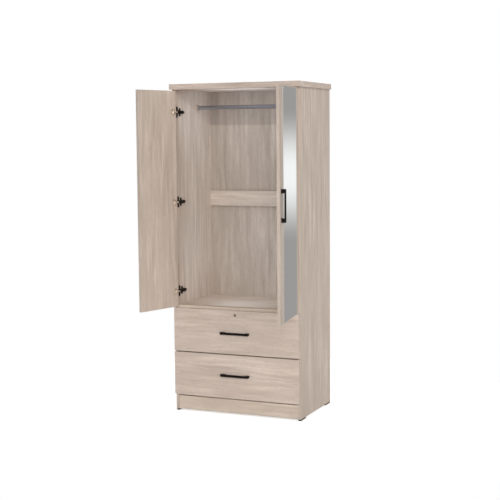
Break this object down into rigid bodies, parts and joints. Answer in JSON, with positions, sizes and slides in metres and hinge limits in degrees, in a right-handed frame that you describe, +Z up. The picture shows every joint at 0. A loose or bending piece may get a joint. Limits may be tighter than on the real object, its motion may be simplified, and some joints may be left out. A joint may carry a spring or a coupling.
{
  "type": "wardrobe",
  "caption": "Free-standing oak-look wardrobe with hinged doors, a mirror strip on the wider door, a hanging rail inside and lockable drawers below.",
  "frame": {"origin": "on the ground, under the middle of the plan box of the wardrobe with its doors open and its drawers shut", "axes": "+X to the right seen from the front, +Y from the front to the back, +Z up"},
  "size_m": [0.9278, 0.9306, 1.83],
  "materials": {
    "oak_laminate": "matt melamine-faced board printed with a pale grey-beige oak grain",
    "back_board": "thin hardboard with the same printed oak grain",
    "drawer_board": "foil-faced drawer board with a faint oak grain",
    "black_metal": "satin black powder coat on cast zinc and pressed steel",
    "black_plastic": "moulded, fine satin texture",
    "satin_nickel": "satin nickel plate",
    "zinc_steel": "rolled steel, bright zinc plate",
    "chromed_steel": "chromed tube",
    "mirror_glass": "silvered float glass"
  },
  "bodies": {
    "carcass": {"side_panel_left": "oak_laminate", "side_panel_right": "oak_laminate", "top_board": "oak_laminate", "wardrobe_floor": "oak_laminate", "base_panel": "oak_laminate", "plinth_rail_front": "oak_laminate", "plinth_rail_rear": "oak_laminate", "back_rail": "oak_laminate", "back_panel_lower": "back_board", "back_panel_upper": "back_board", "foot_front_left": "black_plastic", "foot_front_right": "black_plastic", "foot_rear_left": "black_plastic", "foot_rear_right": "black_plastic", "hanging_rail": "chromed_steel", "rail_socket_left": "chromed_steel", "rail_socket_right": "chromed_steel", "hinge_arm_left_bottom": "black_metal", "hinge_arm_left_middle": "black_metal", "hinge_arm_left_top": "black_metal", "hinge_arm_right_bottom": "black_metal", "hinge_arm_right_middle": "black_metal", "hinge_arm_right_top": "black_metal", "runner_cabinet_lower_left": "zinc_steel", "runner_cabinet_lower_right": "zinc_steel", "runner_cabinet_upper_left": "zinc_steel", "runner_cabinet_upper_right": "zinc_steel"},
    "left_door": {"door_left": "oak_laminate", "handle_door_left": "black_metal", "hinge_cup_left_bottom": "satin_nickel", "hinge_cup_left_middle": "satin_nickel", "hinge_cup_left_top": "satin_nickel"},
    "right_door": {"door_right": "oak_laminate", "mirror": "mirror_glass", "handle_door_right": "black_metal", "hinge_cup_right_bottom": "satin_nickel", "hinge_cup_right_middle": "satin_nickel", "hinge_cup_right_top": "satin_nickel"},
    "lower_drawer": {"drawer_lower_front": "oak_laminate", "drawer_lower_side_left": "drawer_board", "drawer_lower_side_right": "drawer_board", "drawer_lower_back": "drawer_board", "drawer_lower_bottom": "drawer_board", "handle_drawer_lower": "black_metal", "runner_drawer_lower_left": "zinc_steel", "runner_drawer_lower_right": "zinc_steel"},
    "upper_drawer": {"drawer_upper_front": "oak_laminate", "drawer_upper_side_left": "drawer_board", "drawer_upper_side_right": "drawer_board", "drawer_upper_back": "drawer_board", "drawer_upper_bottom": "drawer_board", "handle_drawer_upper": "black_metal", "runner_drawer_upper_left": "zinc_steel", "runner_drawer_upper_right": "zinc_steel", "lock_barrel": "satin_nickel"},
    "lock_core": {"lock_plug": "satin_nickel"}
  },
  "joints": [
    {"name": "left_door_hinge", "type": "hinge", "parent": "carcass", "child": "left_door", "pos_m": [-0.35928, -0.02846, 1.194], "axis": [0, 0, -1], "range_deg": [-107, 3]},
    {"name": "right_door_hinge", "type": "hinge", "parent": "carcass", "child": "right_door", "pos_m": [0.36762, -0.02846, 1.194], "axis": [0, 0, 1], "range_deg": [-99, 11]},
    {"name": "lower_drawer_slide", "type": "slide", "parent": "carcass", "child": "lower_drawer", "axis": [0, -1, 0], "range_m": [0, 0.32]},
    {"name": "upper_drawer_slide", "type": "slide", "parent": "carcass", "child": "upper_drawer", "axis": [0, -1, 0], "range_m": [0, 0.32]},
    {"name": "lock_turn", "type": "hinge", "parent": "upper_drawer", "child": "lock_core", "pos_m": [0.00417, -0.0244, 0.563], "axis": [0, -1, 0], "range_deg": [0, 90]}
  ]
}
